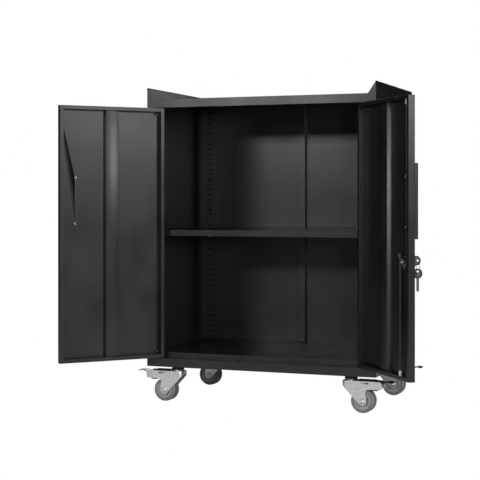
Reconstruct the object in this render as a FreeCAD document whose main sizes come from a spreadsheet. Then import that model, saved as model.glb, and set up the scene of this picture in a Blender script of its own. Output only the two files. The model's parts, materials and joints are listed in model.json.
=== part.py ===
import FreeCAD, Part
import math
import os

import Sketcher

# A rolling steel tool chest with two hinged doors, an adjustable shelf, a key lock that drives two
# locking rods, and four braked swivel castors.  Millimetres.  X runs to the right, Y to the back and
# Z up; the origin is on the floor under the middle of the cabinet.

os.makedirs("parts", exist_ok=True)
doc = FreeCAD.newDocument("tool_chest")
sheet = doc.addObject("Spreadsheet::Sheet", "sizes")
ROW_OF_SIZES = []


class Dim:
    """A size as a number together with the expression that reads it from the spreadsheet."""

    def __init__(self, value, text):
        self.value = value
        self.text = text

    def __add__(self, other):
        other = dim(other)
        return Dim(self.value + other.value, f"({self.text} + {other.text})")

    def __radd__(self, other):
        return dim(other) + self

    def __sub__(self, other):
        other = dim(other)
        return Dim(self.value - other.value, f"({self.text} - {other.text})")

    def __rsub__(self, other):
        return dim(other) - self

    def __mul__(self, other):
        other = dim(other)
        return Dim(self.value * other.value, f"({self.text} * {other.text})")

    def __rmul__(self, other):
        return dim(other) * self

    def __truediv__(self, other):
        other = dim(other)
        return Dim(self.value / other.value, f"({self.text} / {other.text})")

    def __neg__(self):
        return Dim(-self.value, f"(0 - {self.text})")


def dim(value):
    """Turn a plain number into a Dim; a Dim passes through."""
    if isinstance(value, Dim):
        return value
    number = round(float(value), 6)
    if number < 0:
        return Dim(number, f"(0 - {-number})")
    return Dim(number, f"{number}")


def size(alias, value):
    """Store one driving dimension in the spreadsheet and return it."""
    ROW_OF_SIZES.append(alias)
    cell = f"B{len(ROW_OF_SIZES)}"
    sheet.set(f"A{len(ROW_OF_SIZES)}", alias)
    sheet.set(cell, str(value))
    sheet.setAlias(cell, alias)
    return Dim(float(value), f"sizes.{alias}")


# Cabinet
width = size("width", 686)
depth = size("depth", 420)
base_height = size("base_height", 103)
deck_height = size("deck_height", 878.5)
rim_top = size("rim_top", 912.5)
sheet_steel = size("sheet_steel", 1.2)
stile = size("stile", 23)
recess = size("recess", 24)
beam = size("beam", 24.5)
lip_top = size("lip_top", 127.4)
floor_top = size("floor_top", 143.5)

# Shelf
shelf_top = size("shelf_top", 499.3)
shelf_height = size("shelf_height", 17.3)
slot_pitch = size("slot_pitch", 16)
slot_count = size("slot_count", 45)
lowest_slot = size("lowest_slot", 154.7)

# Doors, in a frame on the hinge axis: "along" from the hinge edge and "inward" from the outer face
door_width = size("door_width", 316.5)
door_depth = size("door_depth", 18)
door_bottom = size("door_bottom", 129.5)
door_top = size("door_top", 852)
door_return = size("door_return", 10.5)
hinge_along = size("hinge_along", 11)
hinge_inward = size("hinge_inward", 4.5)
hinge_from_side = size("hinge_from_side", 36)
pin_radius = size("pin_radius", 3)
pin_hole_radius = size("pin_hole_radius", 3.08)
left_open_angle = size("left_open_angle", 132)
right_open_angle = size("right_open_angle", 129.5)
stiffener_start = size("stiffener_start", 138.5)
stiffener_end = size("stiffener_end", 179.5)
stiffener_top = size("stiffener_top", 13)

# Handle
handle_along = size("handle_along", 265)
handle_middle = size("handle_middle", 584.5)
handle_length = size("handle_length", 195)
handle_pitch = size("handle_pitch", 128)
handle_radius = size("handle_radius", 6)
handle_standoff = size("handle_standoff", 27.5)

# Lock
lock_along = size("lock_along", 269)
lock_height = size("lock_height", 432.5)
rod_offset = size("rod_offset", 19)
rod_radius = size("rod_radius", 3)
rod_inward = size("rod_inward", 9)
cam_radius = size("cam_radius", 20)
cam_rest_angle = size("cam_rest_angle", 45)
rod_tip_gap = size("rod_tip_gap", 7.5)
guide_radius = size("guide_radius", 4)
guide_length = size("guide_length", 22)
key_head_radius = size("key_head_radius", 12.5)

# Castors, in a frame on the swivel axis with the wheel trailing towards +X
castor_x = size("castor_x", 262)
castor_y = size("castor_y", 170)
trail = size("trail", 36)
wheel_radius = size("wheel_radius", 33.5)
wheel_width = size("wheel_width", 33)
pedal_reach = size("pedal_reach", 122.5)
pivot_x = size("pivot_x", 30)
pivot_z = size("pivot_z", 80)
rivet_x = size("rivet_x", 78)
rivet_z = size("rivet_z", 79)
crown_top = size("crown_top", 88.5)
cheek_inside = size("cheek_inside", 18)
cheek_outside = size("cheek_outside", 20.5)
foot_gap = size("foot_gap", 3)

half_width = width / 2
half_depth = depth / 2
inner_x = half_width - sheet_steel
front = -half_depth
back = half_depth - sheet_steel
opening_x = half_width - stile
beam_bottom = deck_height - beam
deck_under = deck_height - sheet_steel
hinge_x = half_width - hinge_from_side
hinge_y = front + hinge_inward
PARTS = []


def bind(target, path, amount):
    """Drive one property of an object from the spreadsheet."""
    target.setExpression(path, dim(amount).text)


def place(target, x=0, y=0, z=0, turn=0):
    """Stand an object at a place, turned about Z by an angle in degrees."""
    spot = "; ".join(dim(amount).text for amount in (x, y, z))
    turned = f"create(<<rotation>>; create(<<vector>>; 0; 0; 1); {dim(turn).text})"
    target.setExpression("Placement", f"create(<<placement>>; create(<<vector>>; {spot}); {turned})")


class Piece:
    """A PartDesign body built from padded, pocketed and revolved sketches."""

    PLANES = {"XY": "XY_Plane", "XZ": "XZ_Plane", "YZ": "YZ_Plane"}

    def __init__(self, label):
        self.body = doc.addObject("PartDesign::Body", label)
        self.body.Label = label
        self.label = label
        self.count = 0

    def sketch(self, plane, outlines, offset):
        """Draw closed outlines on one of the body's own planes, lifted along its normal."""
        self.count += 1
        drawing = self.body.newObject("Sketcher::SketchObject", f"{self.label}_sketch{self.count}")
        for feature in self.body.Origin.OriginFeatures:
            if feature.Role == self.PLANES[plane]:
                drawing.AttachmentSupport = [(feature, "")]
        drawing.MapMode = "FlatFace"
        bind(drawing, "AttachmentOffset.Base.z", offset)
        for outline in outlines:
            if outline[0] == "circle":
                draw_circle(drawing, *outline[1:])
            else:
                draw_outline(drawing, outline)
        return drawing

    def span(self, plane, low, high):
        """Return the offset and length that cover low to high along the plane's world axis."""
        low, high = dim(low), dim(high)
        if low.value > high.value:
            low, high = high, low
        return (-high if plane == "XZ" else low), high - low

    def pad(self, plane, outlines, low, high):
        """Add material between two heights."""
        offset, length = self.span(plane, low, high)
        feature = self.body.newObject("PartDesign::Pad", f"{self.label}_pad{self.count}")
        feature.Profile = self.sketch(plane, outlines, offset)
        bind(feature, "Length", length)
        return feature

    def cut(self, plane, outlines, low, high):
        """Remove material between two heights."""
        doc.recompute()
        before = self.body.Shape.Volume
        offset, length = self.span(plane, low, high)
        feature = self.body.newObject("PartDesign::Pocket", f"{self.label}_cut{self.count}")
        feature.Profile = self.sketch(plane, outlines, offset)
        feature.Reversed = True
        bind(feature, "Length", length)
        doc.recompute()
        assert self.body.Shape.Volume < before - 1e-6, f"{self.label}: the pocket cuts nothing"
        return feature

    def revolve(self, outline):
        """Turn an outline of (radius, height) points a full turn about Z."""
        feature = self.body.newObject("PartDesign::Revolution", f"{self.label}_turned{self.count}")
        drawing = self.sketch("XZ", [outline], 0)
        feature.Profile = drawing
        feature.ReferenceAxis = (drawing, ["V_Axis"])
        feature.Angle = 360
        return feature

    def repeat(self, feature, step, count):
        """Repeat a feature upwards."""
        doc.recompute()
        pattern = self.body.newObject("PartDesign::LinearPattern", f"{self.label}_row{self.count}")
        pattern.Originals = [feature]
        pattern.Direction = (feature.Profile[0], ["V_Axis"])
        bind(pattern, "Length", step * (count - 1))
        pattern.Occurrences = int(count.value)
        self.body.Tip = pattern
        return pattern

    def soften(self, picked, radius):
        """Round the picked edges of the finished body."""
        doc.recompute()
        base = self.body.Tip
        edges = enumerate(base.Shape.Edges)
        names = [f"Edge{i + 1}" for i, edge in edges if picked(edge)]
        fillet = self.body.newObject("PartDesign::Fillet", f"{self.label}_round{self.count}")
        fillet.Base = (base, names)
        bind(fillet, "Radius", radius)
        self.count += 1
        return fillet

    def done(self, x=0, y=0, z=0, turn=0, keep=True):
        """Place the finished body and list it for export."""
        place(self.body, x, y, z, turn)
        if keep:
            PARTS.append(self.body)
        return self.body


def fix(drawing, index, end, x, y):
    """Hold one end of a sketch element at a point given by two sizes."""
    for kind, amount, axis in (("DistanceX", dim(x), -2), ("DistanceY", dim(y), -1)):
        if amount.text in ("0.0", "0"):
            drawing.addConstraint(Sketcher.Constraint("PointOnObject", index, end, axis))
        else:
            number = drawing.addConstraint(Sketcher.Constraint(kind, -1, 1, index, end, amount.value))
            drawing.setExpression(f"Constraints[{number}]", amount.text)


def draw_circle(drawing, x, y, radius):
    """Draw a circle held by its centre and radius."""
    spot = FreeCAD.Vector(dim(x).value, dim(y).value, 0)
    circle = Part.Circle(spot, FreeCAD.Vector(0, 0, 1), dim(radius).value)
    index = drawing.addGeometry(circle, False)
    fix(drawing, index, 3, x, y)
    number = drawing.addConstraint(Sketcher.Constraint("Radius", index, dim(radius).value))
    drawing.setExpression(f"Constraints[{number}]", dim(radius).text)


def arc_between(start, end, radius):
    """Return the short arc from start to end; a positive radius bulges to the right of the way."""
    middle = (start + end) * 0.5
    along = end - start
    reach = math.sqrt(max(radius * radius - (along.Length / 2) ** 2, 0.0))
    left = FreeCAD.Vector(-along.y, along.x, 0).normalize()
    side = 1 if radius > 0 else -1
    centre = middle + left * (reach * side)
    crest = centre - left * (abs(radius) * side)
    return Part.Arc(start, crest, end)


def draw_outline(drawing, outline):
    """Draw a closed outline of points; a third value in a point is the radius of the arc it starts."""
    spots = [FreeCAD.Vector(dim(p[0]).value, dim(p[1]).value, 0) for p in outline]
    count = len(outline)
    indices = []
    ends = []
    for i, point in enumerate(outline):
        start, end = spots[i], spots[(i + 1) % count]
        if len(point) == 3:
            arc = arc_between(start, end, dim(point[2]).value)
            index = drawing.addGeometry(arc, False)
            forward = drawing.getPoint(index, 1).distanceToPoint(start) < 1e-6
            ends.append((1, 2) if forward else (2, 1))
        else:
            index = drawing.addGeometry(Part.LineSegment(start, end), False)
            ends.append((1, 2))
        indices.append(index)
    for i in range(count):
        after = (i + 1) % count
        joined = Sketcher.Constraint("Coincident", indices[i], ends[i][1], indices[after], ends[after][0])
        drawing.addConstraint(joined)
    for i, point in enumerate(outline):
        fix(drawing, indices[i], ends[i][0], point[0], point[1])
        if len(point) == 3:
            radius = dim(point[2])
            radius = -radius if radius.value < 0 else radius
            number = drawing.addConstraint(Sketcher.Constraint("Radius", indices[i], radius.value))
            drawing.setExpression(f"Constraints[{number}]", radius.text)


def rectangle(x0, y0, x1, y1):
    """Return a rectangle's outline."""
    return [(x0, y0), (x1, y0), (x1, y1), (x0, y1)]


def hexagon(x, y, across_flats):
    """Return a regular hexagon's outline."""
    radius = dim(across_flats) / 2 / round(math.cos(math.pi / 6), 6)
    outline = []
    for i in range(6):
        cosine, sine = math.cos(i * math.pi / 3), math.sin(i * math.pi / 3)
        outline.append((x + radius * round(cosine, 6), y + radius * round(sine, 6)))
    return outline


def group(label, members, x=0, y=0, z=0, turn=0):
    """Gather separate solids into one named node."""
    whole = doc.addObject("Part::Compound", label)
    whole.Label = label
    whole.Links = members
    place(whole, x, y, z, turn)
    PARTS.append(whole)
    return whole


def mirrored(source, normal, label):
    """Return a mirror image of an object across a plane through the origin."""
    image = doc.addObject("Part::Mirroring", label)
    image.Label = label
    image.Source = source
    image.Base = (0, 0, 0)
    image.Normal = normal
    return image


# Cabinet shell


def side_panel(label, side):
    """Side wall with its front stile folded round and a sloped rim along the top."""
    piece = Piece(label)
    wall = [
        (side * half_width, front),
        (side * half_width, half_depth),
        (side * inner_x, half_depth),
        (side * inner_x, front + sheet_steel),
        (side * (opening_x + sheet_steel), front + sheet_steel),
        (side * (opening_x + sheet_steel), front + recess - sheet_steel),
        (side * (opening_x + 12), front + recess - sheet_steel),
        (side * (opening_x + 12), front + recess),
        (side * opening_x, front + recess),
        (side * opening_x, front),
    ]
    piece.pad("XY", [wall], base_height, deck_under)
    upstand = rectangle(side * inner_x, front, side * half_width, half_depth)
    piece.pad("XY", [upstand], deck_under, rim_top)
    gusset = [
        (side * opening_x, deck_under),
        (side * half_width, deck_under),
        (side * half_width, rim_top),
        (side * opening_x, deck_height),
    ]
    piece.pad("XZ", [gusset], front, front + sheet_steel)
    piece.pad("XZ", [gusset], back, half_depth)
    slope = [
        (side * opening_x, deck_height),
        (side * opening_x, deck_under),
        (side * (opening_x + 1.2), deck_under),
        (side * half_width, rim_top - 3),
        (side * half_width, rim_top),
    ]
    piece.pad("XZ", [slope], front, half_depth)
    return piece.done()


side_panel("side_panel_left", -1)
side_panel("side_panel_right", 1)

lock_x = hinge_x - (lock_along - hinge_along)
rod_y = front + rod_inward


def top_panel():
    """Work surface folded down into the front beam and up into the back rim."""
    piece = Piece("top_panel")
    surface = rectangle(-opening_x, front, opening_x, back)
    piece.pad("XY", [surface], deck_under, deck_height)
    piece.pad("XZ", [rectangle(-opening_x, beam_bottom, opening_x, deck_under)], front, front + sheet_steel)
    soffit = rectangle(-opening_x, front, opening_x, front + recess)
    piece.pad("XY", [soffit], beam_bottom, beam_bottom + sheet_steel)
    inner_lip = rectangle(-opening_x, beam_bottom, opening_x, beam_bottom + 14)
    piece.pad("XZ", [inner_lip], front + recess - sheet_steel, front + recess)
    piece.pad("XZ", [rectangle(-opening_x, deck_under, opening_x, rim_top)], back, half_depth)
    hem = rectangle(-opening_x, half_depth - 9, opening_x, half_depth)
    piece.pad("XY", [hem], rim_top - sheet_steel, rim_top)
    holes = [("circle", side * hinge_x, hinge_y, pin_hole_radius) for side in (-1, 1)]
    holes.append(("circle", lock_x - rod_offset, rod_y, 5))
    piece.cut("XY", holes, beam_bottom - 1, beam_bottom + 3)
    return piece.done()


def floor_pan():
    """Floor folded down into the riser, the ledge and the front lip."""
    piece = Piece("floor_pan")
    riser_y = front + recess - sheet_steel
    shoulder = front + recess + 2
    floor = [
        (-opening_x, riser_y),
        (opening_x, riser_y),
        (opening_x, shoulder),
        (inner_x, shoulder),
        (inner_x, back),
        (-inner_x, back),
        (-inner_x, shoulder),
        (-opening_x, shoulder),
    ]
    piece.pad("XY", [floor], floor_top - sheet_steel, floor_top)
    riser = rectangle(-opening_x, lip_top - sheet_steel, opening_x, floor_top)
    piece.pad("XZ", [riser], riser_y, front + recess)
    ledge = rectangle(-opening_x, front, opening_x, front + recess)
    piece.pad("XY", [ledge], lip_top - sheet_steel, lip_top)
    piece.pad("XZ", [rectangle(-opening_x, base_height, opening_x, lip_top)], front, front + sheet_steel)
    hem = rectangle(-opening_x, front, opening_x, front + 12)
    piece.pad("XY", [hem], base_height, base_height + sheet_steel)
    holes = [("circle", side * hinge_x, hinge_y, pin_hole_radius) for side in (-1, 1)]
    holes.append(("circle", lock_x + rod_offset, rod_y, 5))
    piece.cut("XY", holes, lip_top - 3, lip_top + 1)
    return piece.done()


top_panel()
floor_pan()

seam_x = dim(5)
for label, left_edge, right_edge in (
    ("back_panel_left", -inner_x, -seam_x),
    ("back_panel_right", -seam_x, inner_x),
):
    panel = Piece(label)
    panel.pad("XZ", [rectangle(left_edge, base_height, right_edge, deck_under)], back, half_depth)
    panel.done()


def back_stiffener():
    """Channel up the middle of the back, over the seam between the two back panels."""
    piece = Piece("back_stiffener")
    left, right, face = -16.5, 7, back - 13
    channel = [
        (left, face),
        (right, face),
        (right, back),
        (right - sheet_steel, back),
        (right - sheet_steel, face + sheet_steel),
        (left + sheet_steel, face + sheet_steel),
        (left + sheet_steel, back),
        (left, back),
    ]
    piece.pad("XY", [channel], floor_top + foot_gap, deck_under)
    return piece.done()


back_stiffener()


def slot_row(piece, x0, x1, y0, y1):
    """Cut the ladder of shelf slots, with a round hole at every fifth step."""
    low = lowest_slot - 1.75
    slot = piece.cut("XZ", [rectangle(x0, low, x1, low + 3.5)], y0, y1)
    piece.repeat(slot, slot_pitch, slot_count)
    middle = (x0 + x1) / 2
    hole = piece.cut("XZ", [("circle", middle, lowest_slot + slot_pitch / 2, 1.6)], y0, y1)
    piece.repeat(hole, slot_pitch * 5, dim(9))


def uprights():
    """Four slotted uprights that carry the shelf, two at the back and two behind the stiles."""
    rear = Piece("upright_rear")
    face, near, far = back - 27.8, 298, 313
    channel = [
        (near, face),
        (far, face),
        (far, back),
        (far - sheet_steel, back),
        (far - sheet_steel, face + sheet_steel),
        (near + sheet_steel, face + sheet_steel),
        (near + sheet_steel, back),
        (near, back),
    ]
    rear.pad("XY", [channel], floor_top + foot_gap, deck_under)
    slot_row(rear, dim(301), dim(310), face - 1, face + 2)
    rear.done(keep=False)
    fore = Piece("upright_fore")
    face = front + recess + 2
    angle = [
        (324, face),
        (inner_x, face),
        (inner_x, face + 8),
        (inner_x - sheet_steel, face + 8),
        (inner_x - sheet_steel, face + sheet_steel),
        (324, face + sheet_steel),
    ]
    fore.pad("XY", [angle], floor_top + foot_gap, deck_under)
    slot_row(fore, dim(327), dim(336), face - 1, face + 2)
    fore.done(keep=False)
    across = (1, 0, 0)
    members = [rear.body, fore.body]
    members.append(mirrored(rear.body, across, "upright_rear_image"))
    members.append(mirrored(fore.body, across, "upright_fore_image"))
    return group("shelf_uprights", members)


uprights()


def shelf():
    """Shelf pressed from one sheet, with its edges folded down and turned in."""
    piece = Piece("shelf")
    reach = half_width - 3.5
    near, far = front + 30, back - 29.3
    low, wall = shelf_top - shelf_height, sheet_steel
    piece.pad("XY", [rectangle(-reach, near, reach, far)], low, shelf_top)
    inside = rectangle(-reach + wall, near + wall, reach - wall, far - wall)
    piece.cut("XY", [inside], low + wall, shelf_top - wall)
    mouth = rectangle(-reach + 12, near + 12, reach - 12, far - 12)
    piece.cut("XY", [mouth], low - 1, low + wall * 1.5)
    return piece.done()


shelf()


def shelf_clips():
    """Four clips hooked into the uprights, with a tab under each corner of the shelf."""
    low = shelf_top - shelf_height
    hook_low = lowest_slot + slot_pitch * 21 - 1.5
    members = []
    rear_face, fore_face = back - 27.8, front + recess + 2 + sheet_steel
    for name, face, inward, x0, x1 in (
        ("clip_rear", rear_face, -1, 300, 311),
        ("clip_fore", fore_face, 1, 326, 337),
    ):
        clip = Piece(name)
        plate = rectangle(x0, low - 14, x1, low + 14)
        clip.pad("XZ", [plate], face, face + inward * 1.1)
        clip.pad("XZ", [rectangle(x0, low - 1.6, x1, low)], face, face + inward * 15)
        hook = rectangle(x0 + 2.5, hook_low, x1 - 2.5, hook_low + 3)
        clip.pad("XZ", [hook], face, face - inward * 2.6)
        clip.done(keep=False)
        members.append(clip.body)
        members.append(mirrored(clip.body, (1, 0, 0), name + "_image"))
    return group("shelf_clips", members)


shelf_clips()


def four_corners(label, piece):
    """Repeat one corner's piece at all four corners of the cabinet as a single node."""
    across = mirrored(piece.body, (1, 0, 0), label + "_across")
    pair = doc.addObject("Part::Compound", label + "_pair")
    pair.Links = [piece.body, across]
    behind = mirrored(pair, (0, 1, 0), label + "_behind")
    return group(label, [pair, behind])


def castor_plates():
    """Mounting plate and web that carry each castor under the floor."""
    piece = Piece("castor_plate")
    near, far = front + recess + 0.5, front + 85
    plate = rectangle(222, near, inner_x, far)
    piece.pad("XY", [plate, ("circle", castor_x, -castor_y, 6.1)], base_height, base_height + 3)
    web = rectangle(222, base_height, 225, floor_top - sheet_steel)
    piece.pad("XZ", [web], near, far)
    piece.done(keep=False)
    return four_corners("castor_plates", piece)


def castor_stems():
    """Threaded stem of each castor with its cap, its two nuts and the riveted lower end."""
    piece = Piece("castor_stem")
    under, cap = crown_top - 2.9, crown_top + 3.9
    profile = [
        (0, under - 4.6),
        (7.5, under - 4.6, 3),
        (9, under - 2),
        (9, under),
        (6, under),
        (6, cap),
        (17.5, cap),
        (18.5, cap + 1),
        (18.5, cap + 3.6),
        (16.9, cap + 5.2),
        (6, cap + 5.2),
        (6, base_height + 13),
        (0, base_height + 13),
    ]
    piece.revolve(profile)
    piece.pad("XY", [hexagon(dim(0), dim(0), 19)], cap + 5.2, base_height)
    piece.pad("XY", [hexagon(dim(0), dim(0), 19)], base_height + 3, base_height + 10)
    piece.done(castor_x, -castor_y, 0, keep=False)
    return four_corners("castor_stems", piece)


castor_plates()
castor_stems()


def case_screws():
    """Small round-headed screws that hold the rims, the top and the front ledge to the case."""
    head, height = 2.6, 1.1
    ledge_screw = Piece("ledge_screw")
    ledge_screw.pad("XY", [("circle", -66, front + 11, 4)], lip_top, lip_top + 1.7)
    ledge_screw.done(keep=False)
    members = [ledge_screw.body]
    for number, (across, below) in enumerate(((336, 6.2), (324, 18.2))):
        screw = Piece(f"front_screw_{number}")
        screw.pad("XZ", [("circle", across, deck_height - below, head)], front - height, front)
        screw.done(keep=False)
        members += [screw.body, mirrored(screw.body, (1, 0, 0), f"front_screw_image_{number}")]
    for number, y in enumerate((front + 18.5, -front - 18.5)):
        screw = Piece(f"side_screw_{number}")
        place_on_side = ("circle", y, deck_height - 5, head)
        screw.pad("YZ", [place_on_side], half_width, half_width + height)
        screw.done(keep=False)
        members += [screw.body, mirrored(screw.body, (1, 0, 0), f"side_screw_image_{number}")]
    return group("case_screws", members)


case_screws()


# Doors


def local(side, along, inward):
    """Turn a place on a door into the frame on its hinge axis."""
    return side * (dim(along) - hinge_along), dim(inward) - hinge_inward


def door_box(side, along0, inward0, along1, inward1):
    """Return a rectangle in a door's plan."""
    x0, y0 = local(side, along0, inward0)
    x1, y1 = local(side, along1, inward1)
    return rectangle(x0, y0, x1, y1)


def door_round(side, along, inward, radius):
    """Return a circle in a door's plan."""
    x, y = local(side, along, inward)
    return ("circle", x, y, radius)


def hang(piece, side):
    """Stand a finished door piece on its hinge axis, opened as it rests."""
    turn = -left_open_angle if side > 0 else right_open_angle
    return piece.done(-side * hinge_x, hinge_y, 0, turn)


def door_skin(side, name):
    """Door pan: outer skin, four folded edges and a return turned in all round."""
    piece = Piece(f"door_skin_{name}")
    wall = sheet_steel
    piece.pad("XY", [door_box(side, 0, 0, door_width, door_depth)], door_bottom, door_top)
    cavity = door_box(side, wall, wall, door_width - wall, door_depth - wall)
    piece.cut("XY", [cavity], door_bottom + wall, door_top - wall)
    mouth = door_box(side, door_return, door_depth - wall * 1.5, door_width - door_return, door_depth + 1)
    piece.cut("XY", [mouth], door_bottom + door_return, door_top - door_return)
    pin = door_round(side, hinge_along, hinge_inward, pin_radius)
    top_holes, bottom_holes = [pin], [pin]
    if side < 0:
        top_holes.append(door_round(side, lock_along + rod_offset, rod_inward, guide_radius))
        bottom_holes.append(door_round(side, lock_along - rod_offset, rod_inward, guide_radius))
    piece.cut("XY", top_holes, door_top - 2, door_top + 1)
    piece.cut("XY", bottom_holes, door_bottom - 1, door_bottom + 2)
    x = side * (handle_along - hinge_along)
    faces = [("circle", x, handle_middle + end * handle_pitch / 2, 2.2) for end in (-1, 1)]
    if side < 0:
        faces.append(("circle", side * (lock_along - hinge_along), lock_height, 9.55))
    piece.cut("XZ", faces, -hinge_inward - 1, -hinge_inward + 2)
    return hang(piece, side)


def door_stiffener(side, name):
    """Channel up the middle of the door, open towards the skin."""
    piece = Piece(f"door_stiffener_{name}")
    wall = sheet_steel
    points = (
        (stiffener_start, wall),
        (stiffener_start, stiffener_top),
        (stiffener_end, stiffener_top),
        (stiffener_end, wall),
        (stiffener_end - wall, wall),
        (stiffener_end - wall, stiffener_top - wall),
        (stiffener_start + wall, stiffener_top - wall),
        (stiffener_start + wall, wall),
    )
    piece.pad("XY", [[local(side, *p) for p in points]], door_bottom + wall, door_top - wall)
    return hang(piece, side)


def hinge_pins(side, name):
    """Two bent pivot pins, one through the top edge of the door and one through the bottom."""
    members = []
    for place_name, low, high, foot in (
        ("top", door_top - 17, door_top + 9.5, door_top - 17),
        ("bottom", door_bottom - 9.5, door_bottom + 17, door_bottom + 17),
    ):
        pin = doc.addObject("Part::Cylinder", f"hinge_pin_{place_name}_{name}")
        bind(pin, "Radius", pin_radius)
        bind(pin, "Height", high - low)
        place(pin, 0, 0, low)
        leg = doc.addObject("Part::Cylinder", f"hinge_leg_{place_name}_{name}")
        bind(leg, "Radius", pin_radius)
        bind(leg, "Height", 13)
        leg.Placement = FreeCAD.Placement(
            FreeCAD.Vector(0, 0, foot.value), FreeCAD.Rotation(FreeCAD.Vector(0, 1, 0), 90 * side)
        )
        bind(leg, "Placement.Base.z", foot)
        knee = doc.addObject("Part::Sphere", f"hinge_knee_{place_name}_{name}")
        bind(knee, "Radius", pin_radius)
        place(knee, 0, 0, foot)
        whole = doc.addObject("Part::MultiFuse", f"hinge_rod_{place_name}_{name}")
        whole.Shapes = [pin, leg, knee]
        members.append(whole)
    turn = -left_open_angle if side > 0 else right_open_angle
    return group(f"hinge_pins_{name}", members, -side * hinge_x, hinge_y, 0, turn)


def handle(side, name):
    """Bar handle on two posts with round collars against the door."""
    piece = Piece(f"handle_{name}")
    x = side * (handle_along - hinge_along)
    y = -hinge_inward - handle_standoff
    skin = -hinge_inward
    half = handle_length / 2
    piece.pad("XY", [("circle", x, y, handle_radius)], handle_middle - half, handle_middle + half)
    heights = [handle_middle + end * handle_pitch / 2 for end in (-1, 1)]
    piece.pad("XZ", [("circle", x, z, 4.5) for z in heights], y, skin)
    piece.pad("XZ", [("circle", x, z, 7) for z in heights], skin - 4, skin)
    piece.cut("XZ", [("circle", x, z, 2) for z in heights], skin - 12, skin + 1)
    piece.soften(lambda edge: abs(edge.Length - 2 * math.pi * handle_radius.value) < 1e-3, 1)
    return hang(piece, side)


def handle_screws(side, name):
    """Two pan-head screws that hold the handle from inside the door."""
    members = []
    x = side * (handle_along - hinge_along)
    inner = -hinge_inward + sheet_steel
    for number, end in enumerate((-1, 1)):
        z = handle_middle + end * handle_pitch / 2
        screw = Piece(f"handle_screw_{name}_{number}")
        screw.pad("XZ", [("circle", x, z, 4.6)], inner, inner + 2.6)
        screw.pad("XZ", [("circle", x, z, 2)], inner - 12, inner)
        screw.soften(
            lambda edge: abs(edge.Length - 2 * math.pi * 4.6) < 1e-3
            and edge.CenterOfMass.y > inner.value + 1,
            1.2,
        )
        screw.done(keep=False)
        members.append(screw.body)
    turn = -left_open_angle if side > 0 else right_open_angle
    return group(f"handle_screws_{name}", members, -side * hinge_x, hinge_y, 0, turn)


for door_side, door_name in ((1, "left"), (-1, "right")):
    door_skin(door_side, door_name)
    door_stiffener(door_side, door_name)
    hinge_pins(door_side, door_name)
    handle(door_side, door_name)
    handle_screws(door_side, door_name)


# Lock, locking rods and keys, all on the right-hand door

RIGHT = -1
lock_local_x = RIGHT * (lock_along - hinge_along)
outer_face = -hinge_inward


def lock_disc(radius):
    """Return a circle on the lock's axis."""
    return ("circle", lock_local_x, lock_height, radius)


def lock_housing():
    """Threaded lock barrel with its face flange, clamped through the door skin."""
    piece = Piece("lock_housing")
    piece.pad("XZ", [lock_disc(12.5), lock_disc(6.6)], outer_face - 2.5, outer_face)
    piece.pad("XZ", [lock_disc(9.5), lock_disc(6.6)], outer_face, outer_face + 12)
    return hang(piece, RIGHT)


def lock_nut():
    """Hexagon nut that clamps the lock barrel behind the skin."""
    piece = Piece("lock_nut")
    low = outer_face + sheet_steel
    piece.pad("XZ", [hexagon(lock_local_x, lock_height, 24), lock_disc(9.5)], low, low + 4)
    return hang(piece, RIGHT)


def rod_guides():
    """Slim plastic bushes, pushed through the door's edges, that guide the two locking rods."""
    members = []
    for name, shift, z0, z1 in (
        ("upper", 1, door_top - guide_length, door_top),
        ("lower", -1, door_bottom, door_bottom + guide_length),
    ):
        guide = Piece(f"rod_guide_{name}")
        along = lock_along + shift * rod_offset
        outside = door_round(RIGHT, along, rod_inward, guide_radius)
        bore = door_round(RIGHT, along, rod_inward, rod_radius + 0.06)
        guide.pad("XY", [outside, bore], z0, z1)
        guide.done(keep=False)
        members.append(guide.body)
    return group("rod_guides", members, hinge_x, hinge_y, 0, right_open_angle)


def lock_core():
    """Turning plug of the lock with its keyway and the stud that carries the cam."""
    piece = Piece("lock_core")
    piece.pad("XZ", [lock_disc(6.5)], outer_face - 3, outer_face + 13)
    piece.pad("XZ", [lock_disc(3)], outer_face + 13, outer_face + 18)
    keyway = rectangle(lock_local_x - 1.3, lock_height - 3.7, lock_local_x + 1.3, lock_height + 3.7)
    piece.cut("XZ", [keyway], outer_face - 4, outer_face + 9)
    return hang(piece, RIGHT)


def lock_cam():
    """Two-armed cam with a drive pin in each arm, one for each rod."""
    piece = Piece("lock_cam")
    reach = cam_radius * round(math.sin(math.radians(cam_rest_angle.value)), 6)
    edge = 5.5
    shift = edge * round(math.sin(math.radians(cam_rest_angle.value)), 6)
    x, z = lock_local_x, lock_height
    # The drive pin of the upper rod rests below the axis and the other one above it.
    down = (x - reach, z - reach)
    upward = (x + reach, z + reach)
    ends = [("circle", down[0], down[1], 2), ("circle", upward[0], upward[1], 2)]
    base = outer_face + 13
    arm = [
        (down[0] - shift, down[1] + shift),
        (down[0] + shift, down[1] - shift),
        (upward[0] + shift, upward[1] - shift),
        (upward[0] - shift, upward[1] + shift),
    ]
    piece.pad("XZ", [arm, lock_disc(3)], base, base + 2)
    piece.pad("XZ", [("circle", down[0], down[1], edge)], base, base + 2)
    piece.pad("XZ", [("circle", upward[0], upward[1], edge)], base, base + 2)
    piece.pad("XZ", ends, outer_face + 7.5, base)
    return hang(piece, RIGHT)


def cam_nut():
    """Small nut that holds the cam on the plug."""
    piece = Piece("cam_nut")
    low = outer_face + 15
    piece.pad("XZ", [hexagon(lock_local_x, lock_height, 10), lock_disc(3)], low, low + 3)
    return hang(piece, RIGHT)


KEY_PLANE_HALF = 1.3
ring_out = outer_face - 31


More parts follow.
